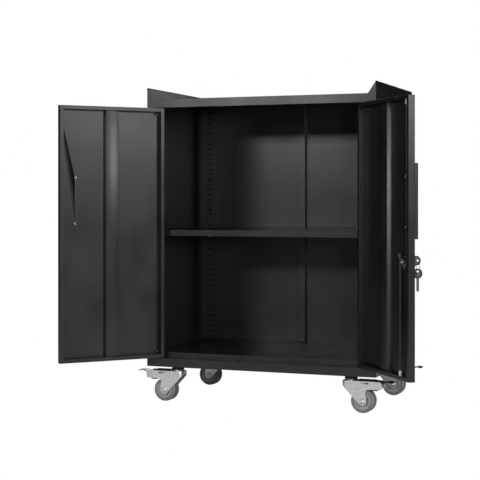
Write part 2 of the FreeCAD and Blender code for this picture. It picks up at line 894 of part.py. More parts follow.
def key_in_lock():
    """Key with a round moulded head, its blade inside the plug."""
    piece = Piece("key")
    middle = outer_face - 26
    head = [("circle", middle, lock_height, key_head_radius), ("circle", ring_out, lock_height, 3.5)]
    piece.pad("YZ", head, lock_local_x - KEY_PLANE_HALF, lock_local_x + KEY_PLANE_HALF)
    blade = rectangle(outer_face - 15, lock_height - 3.5, outer_face + 7, lock_height + 3.5)
    piece.pad("YZ", [blade], lock_local_x - 1.1, lock_local_x + 1.1)
    return hang(piece, RIGHT)


wire_radius = 0.8
ring_radius = 11
ring_hang = lock_height - 2.4


def key_ring():
    """Split ring through the head of the key."""
    ring = doc.addObject("Part::Torus", "key_ring")
    ring.Label = "key_ring"
    ring.Radius1 = ring_radius
    ring.Radius2 = wire_radius
    bind(ring, "Radius1", ring_radius)
    turned = FreeCAD.Rotation(FreeCAD.Vector(0, 0, 1), right_open_angle.value)
    upright = FreeCAD.Rotation(FreeCAD.Vector(1, 0, 0), 90)
    offset = FreeCAD.Vector(lock_local_x.value, ring_out.value, ring_hang.value - ring_radius)
    spot = FreeCAD.Vector(hinge_x.value, hinge_y.value, 0) + turned.multVec(offset)
    ring.Placement = FreeCAD.Placement(spot, turned.multiply(upright))
    PARTS.append(ring)
    return ring


def spare_key():
    """Second key that hangs from the ring."""
    piece = Piece("spare_key")
    wire_low = ring_hang - 2 * ring_radius
    hole = wire_low - 2.4
    head_middle = hole - 6.2
    head = [("circle", ring_out, head_middle, key_head_radius), ("circle", ring_out, hole, 3.5)]
    piece.pad("YZ", head, lock_local_x - KEY_PLANE_HALF, lock_local_x + KEY_PLANE_HALF)
    tip = head_middle - 46
    blade = [
        (ring_out - 3.5, head_middle - 11),
        (ring_out - 3.5, tip + 3),
        (ring_out - 1, tip),
        (ring_out + 1, tip),
        (ring_out + 3.5, tip + 3),
        (ring_out + 3.5, head_middle - 11),
    ]
    piece.pad("YZ", [blade], lock_local_x - 1.1, lock_local_x + 1.1)
    return hang(piece, RIGHT)


def locking_rod(label, shift):
    """Round locking rod with a flat slotted end that rides on one drive pin of the cam."""
    piece = Piece(label)
    reach = cam_radius * round(math.sin(math.radians(cam_rest_angle.value)), 6)
    pin_z = lock_height - shift * reach
    along = lock_along + shift * rod_offset
    inner, outer = lock_along + shift * 10.3, lock_along + shift * 24.4
    x0, _ = local(RIGHT, inner, 0)
    x1, _ = local(RIGHT, outer, 0)
    slot0, _ = local(RIGHT, lock_along + shift * 11.5, 0)
    slot1, _ = local(RIGHT, lock_along + shift * 22.9, 0)
    plate = rectangle(x0, pin_z - 5, x1, pin_z + 5)
    slot = rectangle(slot0, pin_z - 3, slot1, pin_z + 3)
    middle = outer_face + rod_inward
    piece.pad("XZ", [plate, slot], middle - 1, middle + 1)
    start = pin_z + shift * 4
    tip = door_top - rod_tip_gap if shift > 0 else door_bottom + rod_tip_gap
    piece.pad("XY", [door_round(RIGHT, along, rod_inward, rod_radius)], start, tip)
    return hang(piece, RIGHT)


lock_housing()
lock_nut()
rod_guides()
lock_core()
lock_cam()
cam_nut()
key_in_lock()
key_ring()
spare_key()
locking_rod("rod_upper", 1)
locking_rod("rod_lower", -1)


# Castors


def castor_fork(label, x, y, turn):
    """Swivel fork: crown with its raceway, closed rounded front and two cheeks with long arms."""
    piece = Piece(label)
    crown_low = crown_top - 2.5
    front_wall = [
        (-11.5, -cheek_outside),
        (-11.5, -cheek_inside, -7.5),
        (-19, -cheek_inside + 7.5),
        (-19, cheek_inside - 7.5, -7.5),
        (-11.5, cheek_inside),
        (-11.5, cheek_outside, 10),
        (-21.5, cheek_outside - 10),
        (-21.5, -cheek_outside + 10, 10),
    ]
    piece.pad("XY", [front_wall], 66.2, crown_top)
    crown = [
        (-11.5, -cheek_outside),
        (24, -cheek_outside),
        (24, cheek_outside),
        (-11.5, cheek_outside, 10),
        (-21.5, cheek_outside - 10),
        (-21.5, -cheek_outside + 10, 10),
    ]
    piece.pad("XY", [crown, ("circle", 0, 0, 7.2)], crown_low, crown_top)
    boss = 12.5
    cheek = [
        (-11.5, crown_top),
        (-11.5, 66.2),
        (trail - 9.15, wheel_radius - 8.5, boss),
        (trail + boss, wheel_radius),
        (trail + 9.5, 58, -8),
        (trail + 16.5, 66.2),
        (rivet_x + 6.5, 66.2, 8),
        (rivet_x + 14, 73),
        (rivet_x + 14, 81, 8),
        (rivet_x + 6.5, crown_top),
    ]
    slit = [(29, 84.6), (53.5, 80.6), (54.5, 84.4)]
    holes = [
        ("circle", trail, wheel_radius, 4),
        ("circle", pivot_x, pivot_z, 2.5),
        ("circle", rivet_x, rivet_z, 2.5),
    ]
    for low, high in ((cheek_inside, cheek_outside), (-cheek_outside, -cheek_inside)):
        piece.pad("XZ", [cheek, slit, *holes], low, high)
    raceway = [
        (7.2, crown_top - 1),
        (15.5, crown_top - 1),
        (15.5, crown_top + 0.6),
        (17, crown_top + 1.2, 1.5),
        (17, crown_top + 3),
        (16.3, crown_top + 3.5),
        (7.2, crown_top + 3.5),
    ]
    piece.revolve(raceway)
    corner = [(-23, 65), (-11.5, 65), (-11.5, 66.2), (-21.5, 76.9), (-23, 76.9)]
    piece.cut("XZ", [corner], -cheek_outside - 1, cheek_outside + 1)
    return piece.done(x, y, 0, turn)


def castor_pins(label, x, y, turn):
    """Axle bolt of the wheel, flush pivot pin of the pedal and a dome rivet in each arm."""
    members = []
    axle = Piece(f"{label}_axle")
    axle.pad("XZ", [("circle", trail, wheel_radius, 4)], -cheek_outside, cheek_outside)
    pivot = Piece(f"{label}_pivot")
    pivot.pad("XZ", [("circle", pivot_x, pivot_z, 2.5)], -cheek_outside, cheek_outside)
    members += [axle, pivot]
    for name, side in (("near", -1), ("far", 1)):
        outside = side * cheek_outside
        axle.pad("XZ", [("circle", trail, wheel_radius, 7.2)], outside, outside + side * 3)
        rivet = Piece(f"{label}_rivet_{name}")
        rivet.pad("XZ", [("circle", rivet_x, rivet_z, 2.5)], side * cheek_inside, outside)
        rivet.pad("XZ", [("circle", rivet_x, rivet_z, 5)], outside, outside + side * 1.6)
        members.append(rivet)
    for pin in members:
        pin.done(keep=False)
    return group(label, [pin.body for pin in members], x, y, 0, turn)


def stand_wheel(target, x, y, turn):
    """Lay a wheel piece turned about Z onto the axle of its castor."""
    angle = math.radians(turn)
    direction = round(math.cos(angle), 6)
    rotation = FreeCAD.Rotation(FreeCAD.Vector(1, 0, 0), 90)
    spot_x = x + trail * direction
    target.Placement = FreeCAD.Placement(
        FreeCAD.Vector(spot_x.value, y.value, wheel_radius.value), rotation
    )
    bind(target, "Placement.Base.x", spot_x)
    bind(target, "Placement.Base.y", y)
    bind(target, "Placement.Base.z", wheel_radius)
    PARTS.append(target)


def castor_wheel(number, x, y, turn):
    """Wheel core with its hub, web and rim, and the tyre moulded round it."""
    core = Piece(f"castor_core_{number}")
    half = wheel_width / 2
    rim = wheel_radius - 9.5
    core.revolve(
        [
            (4.08, -half),
            (9, -half),
            (10.5, -half + 6),
            (rim - 5.5, -half + 6),
            (rim - 3.5, -half + 1),
            (rim, -half + 1),
            (rim, half - 1),
            (rim - 3.5, half - 1),
            (rim - 5.5, half - 6),
            (10.5, half - 6),
            (9, half),
            (4.08, half),
        ]
    )
    stand_wheel(core.body, x, y, turn)
    tyre = Piece(f"castor_tyre_{number}")
    shoulder = 4
    tyre.revolve(
        [
            (rim, -half + 0.4),
            (wheel_radius - shoulder, -half, shoulder),
            (wheel_radius, -half + shoulder),
            (wheel_radius, half - shoulder, shoulder),
            (wheel_radius - shoulder, half),
            (rim, half - 0.4),
        ]
    )
    stand_wheel(tyre.body, x, y, turn)


def castor_pedal(label, x, y, turn):
    """Brake pedal: wavy foot plate, a rib on the pivot pin and the blade that presses on the wheel."""
    piece = Piece(label)
    top = crown_top + 2.5
    plate = [
        (19.5, top),
        (60, top, -45),
        (79, 87.8, 28),
        (100, 87.6, -30),
        (pedal_reach - 1.5, 87, -2),
        (pedal_reach - 2, 84.6, 28),
        (100.4, 85.5, -30),
        (78.6, 85.6, 43),
        (60, top - 1.9),
        (19.5, top - 1.9),
    ]
    piece.pad("XZ", [plate], -15.5, 15.5)
    rib = [
        (pivot_x - 5.6, top - 1),
        (pivot_x - 5.6, pivot_z, 5.6),
        (pivot_x + 2.5, pivot_z - 5.01),
        (57.5, 65.6),
        (80, 65.6),
        (75, 87.5),
        (62, top - 1),
    ]
    piece.pad("XZ", [rib, ("circle", pivot_x, pivot_z, 2.56)], -5, 5)
    blade = [(58.5, 64.4), (62.5, 62.4), (75.5, 62), (81, 64.2), (80, 66.6), (59.5, 66.6)]
    piece.pad("XZ", [blade], -13, 13)
    return piece.done(x, y, 0, turn)


CASTORS = (
    ("front_left", -castor_x, -castor_y, 180),
    ("front_right", castor_x, -castor_y, 0),
    ("rear_left", -castor_x, castor_y, 180),
    ("rear_right", castor_x, castor_y, 0),
)
for corner, castor_at_x, castor_at_y, heading in CASTORS:
    castor_fork(f"castor_fork_{corner}", castor_at_x, castor_at_y, heading)
    castor_pins(f"castor_pins_{corner}", castor_at_x, castor_at_y, heading)
    castor_wheel(corner, castor_at_x, castor_at_y, heading)
    castor_pedal(f"castor_pedal_{corner}", castor_at_x, castor_at_y, heading)


doc.recompute()
for thing in doc.Objects:
    wrong = [state for state in thing.State if state in ("Invalid", "Error")]
    assert not wrong, f"{thing.Label} is {wrong}"
for part in PARTS:
    assert not part.Shape.isNull(), f"{part.Label} has no shape"
    assert part.Shape.isValid(), f"{part.Label} isn't valid"
    part.Shape.exportStep(f"parts/{part.Label}.step")
print(len(PARTS), "parts")
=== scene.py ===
"""Looks of the rolling tool chest: finishes, worked-up pieces, studio and camera."""

import json
import logging
import math
from dataclasses import dataclass, field
from enum import Enum
from typing import Callable

import bpy
from mathutils import Matrix, Vector

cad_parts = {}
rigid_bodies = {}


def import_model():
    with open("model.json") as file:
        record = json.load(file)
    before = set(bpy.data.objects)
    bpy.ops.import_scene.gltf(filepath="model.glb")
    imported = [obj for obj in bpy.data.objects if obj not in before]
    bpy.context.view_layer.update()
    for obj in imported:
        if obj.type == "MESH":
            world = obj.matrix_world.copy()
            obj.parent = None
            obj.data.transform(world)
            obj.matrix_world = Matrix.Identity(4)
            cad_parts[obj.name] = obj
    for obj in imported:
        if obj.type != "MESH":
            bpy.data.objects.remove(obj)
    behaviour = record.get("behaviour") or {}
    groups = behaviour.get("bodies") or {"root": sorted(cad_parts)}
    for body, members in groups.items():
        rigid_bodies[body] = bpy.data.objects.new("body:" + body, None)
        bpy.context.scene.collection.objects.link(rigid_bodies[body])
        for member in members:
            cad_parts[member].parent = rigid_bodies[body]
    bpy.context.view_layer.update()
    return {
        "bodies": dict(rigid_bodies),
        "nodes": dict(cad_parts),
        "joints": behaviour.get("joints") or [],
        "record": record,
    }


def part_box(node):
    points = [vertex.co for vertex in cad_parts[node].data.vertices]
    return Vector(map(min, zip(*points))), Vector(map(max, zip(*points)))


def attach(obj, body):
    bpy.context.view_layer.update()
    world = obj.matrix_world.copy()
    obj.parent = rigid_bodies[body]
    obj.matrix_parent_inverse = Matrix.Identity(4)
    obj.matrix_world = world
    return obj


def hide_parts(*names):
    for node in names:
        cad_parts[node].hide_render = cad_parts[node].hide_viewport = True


LOG = logging.getLogger("tool_chest")
MM = 0.001
MERGE_GAP = 1e-6  # metres; points of a new mesh closer than this are one
WELD_GAP = 1e-5  # metres; the same for a CAD node's loose triangles
FOLD_ANGLE = math.radians(35)  # edges sharper than this are rounded


class Corner(Enum):
    """The four castors, by where they stand."""

    FRONT_LEFT = "front_left"
    FRONT_RIGHT = "front_right"
    REAR_LEFT = "rear_left"
    REAR_RIGHT = "rear_right"


def linear(code: str) -> tuple[float, float, float, float]:
    """Turn an sRGB hex colour into a linear one.

    Args:
        code: The colour as six hex digits after a hash.

    Returns:
        Red, green, blue and alpha in linear light.
    """
    values = [int(code[i : i + 2], 16) / 255 for i in (1, 3, 5)]
    line = [v / 12.92 if v <= 0.04045 else ((v + 0.055) / 1.055) ** 2.4 for v in values]
    return (line[0], line[1], line[2], 1.0)


def add_node(
    tree: bpy.types.NodeTree, kind: str, inputs: dict | None = None, **settings: object
) -> bpy.types.Node:
    """Add a node with its settings, its input values and the links into it.

    Args:
        tree: The node tree that gets the node.
        kind: The node's type.
        inputs: Input sockets by name or number, each with a value or an output socket.
        **settings: Properties set on the node itself.

    Returns:
        The new node.
    """
    node = tree.nodes.new(kind)
    for name, value in settings.items():
        setattr(node, name, value)
    for key, value in (inputs or {}).items():
        socket = node.inputs[key]
        if isinstance(value, bpy.types.NodeSocket):
            tree.links.new(value, socket)
        else:
            socket.default_value = value
    return node


def set_ramp(node: bpy.types.Node, stops: list[tuple[float, str]]) -> bpy.types.NodeSocket:
    """Give a colour ramp its stops.

    Args:
        node: The colour ramp node.
        stops: Positions and hex colours, lowest first.

    Returns:
        The ramp's colour output.
    """
    elements = node.color_ramp.elements
    while len(elements) < len(stops):
        elements.new(1.0)
    for element, (position, code) in zip(elements, stops):
        element.position = position
        element.color = linear(code)
    return node.outputs["Color"]


@dataclass(frozen=True)
class Finish:
    """A surface finish that a piece can wear."""

    name: str

    def start(self) -> tuple[bpy.types.Material, bpy.types.NodeTree, bpy.types.NodeSocket]:
        """Open an empty material.

        Returns:
            The material, its node tree and the object coordinates in metres.
        """
        material = bpy.data.materials.new(self.name)
        material.use_nodes = True
        tree = material.node_tree
        tree.nodes.clear()
        place = add_node(tree, "ShaderNodeTexCoord").outputs["Object"]
        return material, tree, place

    def close(self, tree: bpy.types.NodeTree, shader: bpy.types.Node) -> None:
        """Send the shader to the material's output."""
        add_node(tree, "ShaderNodeOutputMaterial", {"Surface": shader.outputs[0]})

    def build(self) -> bpy.types.Material:
        """Return the material for this finish."""
        raise NotImplementedError


@dataclass(frozen=True)
class PowderCoat(Finish):
    """Sprayed and baked powder paint: a fine pebbled skin with a soft sheen."""

    colour: str = "#1c1c1d"
    lighter: str = "#232324"
    roughness: float = 0.33
    pebble_mm: float = 1.6
    pebble_depth: float = 0.1

    def build(self) -> bpy.types.Material:
        """Return the material for this finish."""
        material, tree, place = self.start()
        # The pebbles of real powder paint are about 0.5 mm; drawn at pebble_mm so that they show.
        pebble = add_node(
            tree,
            "ShaderNodeTexNoise",
            {"Vector": place, "Scale": 1000 / self.pebble_mm, "Detail": 2.0, "Roughness": 0.55},
        )
        # Slow drifts in film thickness, a hand's breadth across, move the sheen a little.
        drift = add_node(
            tree, "ShaderNodeTexNoise", {"Vector": place, "Scale": 9.0, "Detail": 3.0}
        )
        tint = add_node(tree, "ShaderNodeValToRGB", {"Fac": drift.outputs["Fac"]})
        colour = set_ramp(tint, [(0.35, self.colour), (0.7, self.lighter)])
        sheen = add_node(
            tree,
            "ShaderNodeMapRange",
            {
                "Value": drift.outputs["Fac"],
                "From Min": 0.3,
                "From Max": 0.7,
                "To Min": self.roughness - 0.04,
                "To Max": self.roughness + 0.05,
            },
        )
        bump = add_node(
            tree,
            "ShaderNodeBump",
            {"Height": pebble.outputs["Fac"], "Strength": self.pebble_depth, "Distance": 0.0004},
        )
        shader = add_node(
            tree,
            "ShaderNodeBsdfPrincipled",
            {
                "Base Color": colour,
                "Roughness": sheen.outputs["Result"],
                "IOR": 1.5,
                "Normal": bump.outputs["Normal"],
            },
        )
        self.close(tree, shader)
        return material


@dataclass(frozen=True)
class PlatedMetal(Finish):
    """Zinc, nickel or chrome plate over steel: bright metal with faint cloudy patches."""

    colour: str = "#e6e6e6"
    darker: str = "#d6d7d8"
    roughness: float = 0.34
    cloud_mm: float = 6.0
    scratch_mm: float = 0.6

    def build(self) -> bpy.types.Material:
        """Return the material for this finish."""
        material, tree, place = self.start()
        # Plating dries in clouds a few millimetres across.
        cloud = add_node(
            tree,
            "ShaderNodeTexNoise",
            {"Vector": place, "Scale": 1000 / self.cloud_mm, "Detail": 4.0, "Roughness": 0.6},
        )
        tint = add_node(tree, "ShaderNodeValToRGB", {"Fac": cloud.outputs["Fac"]})
        colour = set_ramp(tint, [(0.3, self.darker), (0.65, self.colour)])
        # Rolling marks run along one way, finer than a millimetre.
        stretched = add_node(
            tree, "ShaderNodeMapping", {"Vector": place, "Scale": (1.0, 1.0, 0.06)}
        )
        marks = add_node(
            tree,
            "ShaderNodeTexNoise",
            {"Vector": stretched.outputs[0], "Scale": 1000 / self.scratch_mm, "Detail": 2.0},
        )
        rough = add_node(
            tree,
            "ShaderNodeMapRange",
            {
                "Value": cloud.outputs["Fac"],
                "From Min": 0.3,
                "From Max": 0.7,
                "To Min": self.roughness - 0.05,
                "To Max": self.roughness + 0.08,
            },
        )
        bump = add_node(
            tree,
            "ShaderNodeBump",
            {"Height": marks.outputs["Fac"], "Strength": 0.08, "Distance": 0.0002},
        )
        shader = add_node(
            tree,
            "ShaderNodeBsdfPrincipled",
            {
                "Base Color": colour,
                "Metallic": 1.0,
                "Roughness": rough.outputs["Result"],
                "Normal": bump.outputs["Normal"],
            },
        )
        self.close(tree, shader)
        return material


@dataclass(frozen=True)
class Moulded(Finish):
    """Moulded plastic or rubber: a faint spark-eroded grain and slightly uneven gloss."""

    colour: str = "#808284"
    lighter: str = "#8c8e90"
    roughness: float = 0.5
    grain_mm: float = 0.9
    grain_depth: float = 0.1
    ior: float = 1.5

    def build(self) -> bpy.types.Material:
        """Return the material for this finish."""
        material, tree, place = self.start()
        # Mould texture is about a tenth of a millimetre; drawn at grain_mm so that it shows.
        grain = add_node(
            tree,
            "ShaderNodeTexNoise",
            {"Vector": place, "Scale": 1000 / self.grain_mm, "Detail": 3.0},
        )
        # Flow and handling marks drift over a couple of centimetres.
        drift = add_node(
            tree, "ShaderNodeTexNoise", {"Vector": place, "Scale": 45.0, "Detail": 2.0}
        )
        tint = add_node(tree, "ShaderNodeValToRGB", {"Fac": drift.outputs["Fac"]})
        colour = set_ramp(tint, [(0.35, self.colour), (0.7, self.lighter)])
        gloss = add_node(
            tree,
            "ShaderNodeMapRange",
            {
                "Value": drift.outputs["Fac"],
                "From Min": 0.3,
                "From Max": 0.7,
                "To Min": self.roughness - 0.05,
                "To Max": self.roughness + 0.06,
            },
        )
        bump = add_node(
            tree,
            "ShaderNodeBump",
            {"Height": grain.outputs["Fac"], "Strength": self.grain_depth, "Distance": 0.0003},
        )
        shader = add_node(
            tree,
            "ShaderNodeBsdfPrincipled",
            {
                "Base Color": colour,
                "Roughness": gloss.outputs["Result"],
                "IOR": self.ior,
                "Normal": bump.outputs["Normal"],
            },
        )
        self.close(tree, shader)
        return material


@dataclass
class Workshop:
    """Hands out each finish once, and the loaded frame with it."""

    frame: dict
    finishes: dict[str, bpy.types.Material] = field(default_factory=dict)

    def material(self, finish: Finish) -> bpy.types.Material:
        """Return the material of a finish, built on first use.

        Args:
            finish: The finish asked for.

        Returns:
            Its material.
        """
        if finish.name not in self.finishes:
            self.finishes[finish.name] = finish.build()
        return self.finishes[finish.name]

    def joint(self, name: str) -> dict:
        """Return a joint's entry in the loaded frame by its name."""
        return next(j for j in self.frame["joints"] if j["name"] == name)

    def shut_angle(self, name: str) -> float:
        """Return how many degrees a door turns from rest until it is shut."""
        joints = self.frame["record"]["behaviour"]["joints"]
        return -next(j for j in joints if j["name"] == name)["range_deg"][0]

    def dress(self, node: str, finish: Finish, edge_mm: float = 0.0) -> bpy.types.Object:
        """Give a CAD node its finish, and softly folded edges where asked.

        Args:
            node: The CAD node's name.
            finish: The finish it wears.
            edge_mm: Radius of its edges in millimetres, or 0 to leave them sharp.

        Returns:
            The node's object.
        """
        piece = self.frame["nodes"][node]
        piece.data.materials.clear()
        piece.data.materials.append(self.material(finish))
        if edge_mm:
            soften(piece, edge_mm)
        LOG.info("%s wears %s", node, finish.name)
        return piece


def soften(piece: bpy.types.Object, edge_mm: float) -> None:
    """Round a piece's edges with live modifiers that leave its mesh alone."""
    weld = piece.modifiers.new("join", "WELD")
    weld.merge_threshold = WELD_GAP
    bevel = piece.modifiers.new("edge", "BEVEL")
    bevel.width = edge_mm * MM
    bevel.segments = 2
    bevel.limit_method = "ANGLE"
    bevel.angle_limit = FOLD_ANGLE
    bevel.harden_normals = True


def take(piece: bpy.types.Object) -> None:
    """Select one piece alone and make it active."""
    bpy.ops.object.select_all(action="DESELECT")
    piece.select_set(True)
    bpy.context.view_layer.objects.active = piece


def apply_modifiers(piece: bpy.types.Object) -> None:
    """Apply every modifier of a piece, first to last."""
    take(piece)
    for modifier in list(piece.modifiers):
        bpy.ops.object.modifier_apply(modifier=modifier.name)


def settle(piece: bpy.types.Object, place: Matrix) -> bpy.types.Object:
    """Move a piece into the chest's frame, with its place in its mesh.

    Args:
        piece: The piece, modelled round the origin.
        place: Where it goes.

    Returns:
        The same piece.
    """
    piece.matrix_world = place @ piece.matrix_world
    take(piece)
    bpy.ops.object.transform_apply(location=True, rotation=True, scale=True)
    return piece


def pick(piece: bpy.types.Object, choose: Callable[[Vector, Vector], bool]) -> None:
    """Select the faces of a piece in edit mode by their centre and normal.

    Args:
        piece: The piece, in edit mode.
        choose: Tells from a face's centre and normal whether it is wanted.
    """
    bpy.ops.mesh.select_mode(type="FACE")
    bpy.ops.mesh.select_all(action="DESELECT")
    bpy.ops.object.mode_set(mode="OBJECT")
    for face in piece.data.polygons:
        face.select = choose(face.center, face.normal)
    bpy.ops.object.mode_set(mode="EDIT")


def trace(name: str, points: list[tuple[float, float, float]]) -> bpy.types.Object:
    """Draw a line of edges from point to point and stay in edit mode.

    Args:
        name: The new piece's name.
        points: The line's points in metres.

    Returns:
        The new piece, in edit mode, with its last point selected.
    """
    bpy.ops.object.select_all(action="DESELECT")
    bpy.ops.mesh.primitive_plane_add(size=0.001)
    piece = bpy.context.object
    piece.name = name
    bpy.ops.object.mode_set(mode="EDIT")
    bpy.ops.mesh.select_mode(type="VERT")
    bpy.ops.mesh.select_all(action="SELECT")
    bpy.ops.mesh.merge(type="CENTER")
    bpy.ops.transform.translate(value=points[0])
    for start, end in zip(points, points[1:]):
        step = tuple(e - s for s, e in zip(start, end))
        bpy.ops.mesh.extrude_region_move(TRANSFORM_OT_translate={"value": step})
    return piece


def turn_profile(name: str, points: list[tuple[float, float]], steps: int) -> bpy.types.Object:
    """Turn a closed profile round the Z axis.

    Args:
        name: The new piece's name.
        points: The profile's corners, each a radius and a height, in millimetres.
        steps: How many steps the turn takes.

    Returns:
        The turned piece.
    """
    # A profile that starts and ends on the axis needs no edge along it.
    closed = points if points[0][0] == points[-1][0] == 0.0 else points + points[:1]
    corners = [(radius * MM, 0.0, height * MM) for radius, height in closed]
    piece = trace(name, corners)
    bpy.ops.mesh.select_all(action="SELECT")
    bpy.ops.mesh.remove_doubles(threshold=MERGE_GAP)
    bpy.ops.mesh.select_all(action="SELECT")
    bpy.ops.mesh.spin(
        steps=steps, angle=2 * math.pi, center=(0.0, 0.0, 0.0), axis=(0.0, 0.0, 1.0)
    )
    bpy.ops.mesh.select_all(action="SELECT")
    bpy.ops.mesh.remove_doubles(threshold=MERGE_GAP)
    bpy.ops.mesh.normals_make_consistent(inside=False)
    bpy.ops.object.mode_set(mode="OBJECT")
    return piece


def copy_piece(piece: bpy.types.Object, name: str) -> bpy.types.Object:
    """Copy a piece with its own mesh.

    Args:
        piece: The piece to copy.
        name: The copy's name.

    Returns:
        The copy.
    """
    twin = piece.copy()
    twin.data = piece.data.copy()
    twin.name = name
    bpy.context.scene.collection.objects.link(twin)
    return twin


def paint(piece: bpy.types.Object, material: bpy.types.Material, angle: float = 35.0) -> None:
    """Give a new piece its material and smooth its curved faces."""
    piece.data.materials.clear()
    piece.data.materials.append(material)
    take(piece)
    bpy.ops.object.shade_smooth_by_angle(angle=math.radians(angle))


def basis(x: Vector, y: Vector, z: Vector, origin: Vector) -> Matrix:
    """Return the placement with these axes and this origin."""
    matrix = Matrix((x, y, z)).transposed().to_4x4()
    matrix.translation = origin
    return matrix


CASE_COAT = PowderCoat("black_powder_coat")
HANDLE_COAT = PowderCoat(
    "black_handle_paint", colour="#121213", lighter="#171718", roughness=0.32, pebble_depth=0.05
)
ROD_COAT = PowderCoat("black_rod_paint", colour="#202021", lighter="#28282a", roughness=0.35)
PEDAL_COAT = PowderCoat("black_pedal_paint", colour="#151516", lighter="#1b1b1c", roughness=0.38)
STEM_OXIDE = PowderCoat("blackened_steel", colour="#232325", lighter="#2d2d2f", roughness=0.45)
ZINC = PlatedMetal("bright_zinc_plate")
CHROME = PlatedMetal("bright_chrome_plate", colour="#d8d9db", darker="#c4c6c9", roughness=0.14)
NICKEL = PlatedMetal("nickel_wire", colour="#cfccc4", darker="#b5b1a8", roughness=0.2)
PIN_OXIDE = PowderCoat("black_oxide", colour="#1d1d1f", lighter="#28282a", roughness=0.3)
KEY_STEEL = PlatedMetal("key_blade_plate", colour="#8f9092", darker="#77787a", roughness=0.3)
KEY_PLASTIC = Moulded("key_head_plastic", colour="#141415", lighter="#1a1a1b", roughness=0.42)
NYLON = Moulded("natural_nylon", colour="#c9c8c2", lighter="#d6d5cf", roughness=0.45)
WHEEL_CORE = Moulded("grey_wheel_plastic", colour="#9a9b9c", lighter="#a6a7a8", roughness=0.5)
TYRE = Moulded("grey_rubber", colour="#7c7d7f", lighter="#87888a", roughness=0.6)


@dataclass
class Cabinet:
    """The steel case with its shelf, uprights and small fixings."""

    edge_mm: float = 0.5
    sheets: tuple[str, ...] = (
        "side_panel_left",
        "side_panel_right",
        "top_panel",
        "floor_pan",
        "shelf",
        "back_panel_left",
        "back_panel_right",
        "back_stiffener",
        "shelf_uprights",
        "castor_plates",
    )

    def build(self, shop: Workshop) -> None:
        """Dress the case."""
        for node in self.sheets:
            shop.dress(node, CASE_COAT, self.edge_mm if node != "shelf_uprights" else 0.0)
        shop.dress("shelf_clips", ZINC, 0.2)
        shop.dress("case_screws", PIN_OXIDE, 0.3)
        shop.dress("castor_stems", STEM_OXIDE, 0.2)


@dataclass
class Door:
    """One door with its stiffener, pivots and bar handle."""

    name: str
    side: int
    edge_mm: float = 0.5
    lean: float = 2.1 * MM
    sheet: float = 0.8 * MM
    fold_radius: float = 0.7 * MM

    def build(self, shop: Workshop) -> None:
        """Dress the door and fold its stiffener."""
        shop.dress(f"door_skin_{self.name}", CASE_COAT, self.edge_mm)
        shop.dress(f"hinge_pins_{self.name}", PIN_OXIDE, 0.2)
        shop.dress(f"handle_{self.name}", HANDLE_COAT)
        shop.dress(f"handle_screws_{self.name}", CHROME)
        self.fold_stiffener(shop)

    def axes(self, shop: Workshop) -> Matrix:
        """Return the door's frame at rest.

        Args:
            shop: The workshop with the loaded frame.

        Returns:
            Its X points to the free edge and its Y inwards; its origin is on the hinge.
        """
        hinge = shop.joint(f"{self.name}_door_hinge")["pos_m"]
        angle = math.radians(shop.shut_angle(f"{self.name}_door_hinge"))
        along = Vector((self.side * math.cos(angle), -math.sin(angle), 0.0))
        inward = Vector((self.side * math.sin(angle), math.cos(angle), 0.0))
        up = along.cross(inward)
        return basis(along, inward, up, Vector((hinge[0], hinge[1], 0.0)))

    def fold_stiffener(self, shop: Workshop) -> None:
        """Fold a channel with leaning sides that stands for the plain stiffener.

        Args:
            shop: The workshop with the loaded frame.
        """
        node = f"door_stiffener_{self.name}"
        place = self.axes(shop)
        inverse = place.inverted()
        points = [inverse @ v.co for v in shop.frame["nodes"][node].data.vertices]
        low = [min(p[i] for p in points) for i in range(3)]
        high = [max(p[i] for p in points) for i in range(3)]
        skin, crest = low[1], high[1] - self.sheet / 2
        line = [
            (low[0] - self.lean, skin, low[2]),
            (low[0] + self.lean, crest, low[2]),
            (high[0] - self.lean, crest, low[2]),
            (high[0] + self.lean, skin, low[2]),
        ]
        piece = trace(f"stiffener_channel_{self.name}", line)
        bpy.ops.mesh.select_all(action="SELECT")
        rise = (0.0, 0.0, high[2] - low[2])
        bpy.ops.mesh.extrude_region_move(TRANSFORM_OT_translate={"value": rise})
        bpy.ops.object.mode_set(mode="OBJECT")
        wall = piece.modifiers.new("wall", "SOLIDIFY")
        wall.thickness = self.sheet
        wall.offset = 0.0
        fold = piece.modifiers.new("fold", "BEVEL")
        fold.width = self.fold_radius
        fold.segments = 3
        fold.limit_method = "ANGLE"
        fold.angle_limit = math.radians(30)
        apply_modifiers(piece)
        settle(piece, place)
        take(piece)
        bpy.ops.object.mode_set(mode="EDIT")
        bpy.ops.mesh.select_all(action="SELECT")
        bpy.ops.mesh.normals_make_consistent(inside=False)
        bpy.ops.object.mode_set(mode="OBJECT")
        paint(piece, shop.material(CASE_COAT))
        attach(piece, f"{self.name}_door")
        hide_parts(node)
        LOG.info("%s folded", piece.name)


